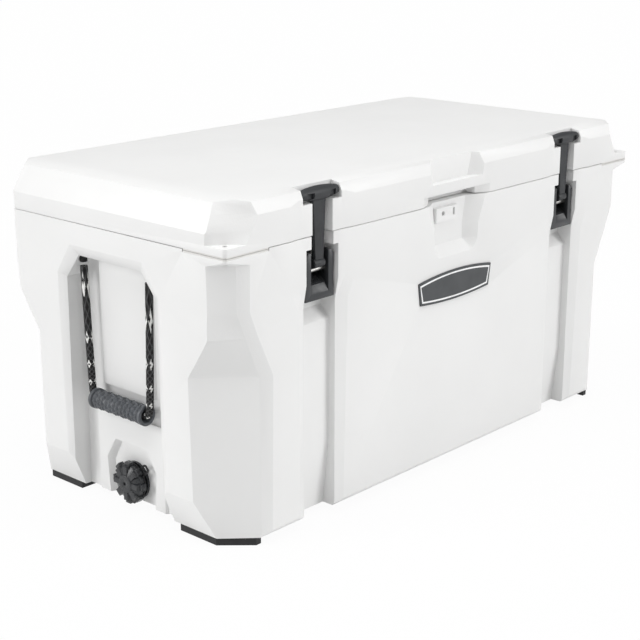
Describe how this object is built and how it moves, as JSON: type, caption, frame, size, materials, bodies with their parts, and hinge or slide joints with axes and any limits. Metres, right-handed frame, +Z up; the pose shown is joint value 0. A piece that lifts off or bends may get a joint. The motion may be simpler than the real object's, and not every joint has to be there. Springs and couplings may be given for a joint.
{
  "type": "cooler chest",
  "caption": "Hard-sided insulated cooler chest with a hinged lid, two rubber lid latches, a threaded drain plug in one end and a swinging rope handle on each end.",
  "frame": {"origin": "on the floor, under the middle of the chest", "axes": "+X along the length, away from the end with the drain; the front with the latches faces -Y; +Z up"},
  "size_m": [1.05, 0.522, 0.535],
  "materials": {
    "white_plastic": "satin",
    "foam_core": "matte",
    "steel": "brushed",
    "black_rubber": "matte",
    "rope": "matte",
    "badge_line": "satin",
    "dark_plastic": "satin"
  },
  "bodies": {
    "tub": {"tub_shell": "white_plastic", "tub_foam": "foam_core", "tub_liner": "white_plastic", "lock_plate_tub_left": "steel", "lock_plate_tub_right": "steel", "badge_plate": "dark_plastic", "badge_border": "badge_line", "latch_keeper_left": "dark_plastic", "latch_keeper_right": "dark_plastic", "catch_bar_left": "steel", "catch_bar_right": "steel", "keeper_screws": "steel", "hinge_tub_leaf_left": "steel", "hinge_tub_leaf_right": "steel", "hinge_tub_screws": "steel", "hinge_pin_left": "steel", "hinge_pin_right": "steel", "drain_spout": "dark_plastic", "drain_washer": "black_rubber", "drain_nut": "dark_plastic", "rope_knots": "rope", "foot_front_left": "black_rubber", "foot_front_right": "black_rubber", "foot_rear_left": "black_rubber", "foot_rear_right": "black_rubber", "foot_screws": "steel"},
    "lid": {"lid_shell": "white_plastic", "lid_foam": "foam_core", "lid_liner": "white_plastic", "lid_gasket": "black_rubber", "lock_plate_lid_left": "steel", "lock_plate_lid_right": "steel", "hinge_lid_leaf_left": "steel", "hinge_lid_leaf_right": "steel", "hinge_lid_screws": "steel", "latch_pin_left": "steel", "latch_pin_right": "steel"},
    "latch_left": {"latch_strap_left": "black_rubber"},
    "latch_right": {"latch_strap_right": "black_rubber"},
    "drain_seat": {"drain_seal": "black_rubber", "drain_tether": "black_rubber"},
    "drain_cap": {"drain_cap": "dark_plastic"},
    "handle_left": {"handle_rope_left": "rope"},
    "handle_right": {"handle_rope_right": "rope"},
    "grip_left": {"handle_grip_left": "dark_plastic"},
    "grip_right": {"handle_grip_right": "dark_plastic"}
  },
  "joints": [
    {"name": "lid_hinge", "type": "hinge", "parent": "tub", "child": "lid", "pos_m": [0, 0.25, 0.46], "axis": [-1, 0, 0], "range_deg": [0, 95]},
    {"name": "latch_left_pivot", "type": "hinge", "parent": "lid", "child": "latch_left", "pos_m": [-0.3235, -0.2475, 0.52], "axis": [-1, 0, 0], "range_deg": [0, 120]},
    {"name": "latch_right_pivot", "type": "hinge", "parent": "lid", "child": "latch_right", "pos_m": [0.3235, -0.2475, 0.52], "axis": [-1, 0, 0], "range_deg": [0, 120]},
    {"name": "drain_unscrew", "type": "slide", "parent": "tub", "child": "drain_seat", "axis": [-1, 0, 0], "range_m": [0, 0.0085]},
    {"name": "drain_turn", "type": "hinge", "parent": "drain_seat", "child": "drain_cap", "pos_m": [-0.5, 0, 0.045], "axis": [-1, 0, 0], "range_deg": [0, 720]},
    {"name": "handle_left_swing", "type": "hinge", "parent": "tub", "child": "handle_left", "pos_m": [-0.505, 0, 0.388], "axis": [0, 1, 0], "range_deg": [0, 95]},
    {"name": "handle_right_swing", "type": "hinge", "parent": "tub", "child": "handle_right", "pos_m": [0.505, 0, 0.388], "axis": [0, -1, 0], "range_deg": [0, 95]},
    {"name": "grip_left_spin", "type": "hinge", "parent": "handle_left", "child": "grip_left", "pos_m": [-0.505, 0, 0.175], "axis": [0, 1, 0], "continuous": true},
    {"name": "grip_right_spin", "type": "hinge", "parent": "handle_right", "child": "grip_right", "pos_m": [0.505, 0, 0.175], "axis": [0, 1, 0], "continuous": true}
  ],
  "couplings": [
    {"joint": "drain_unscrew", "follows": "drain_turn", "m_per_rad": 0.00063662}
  ]
}
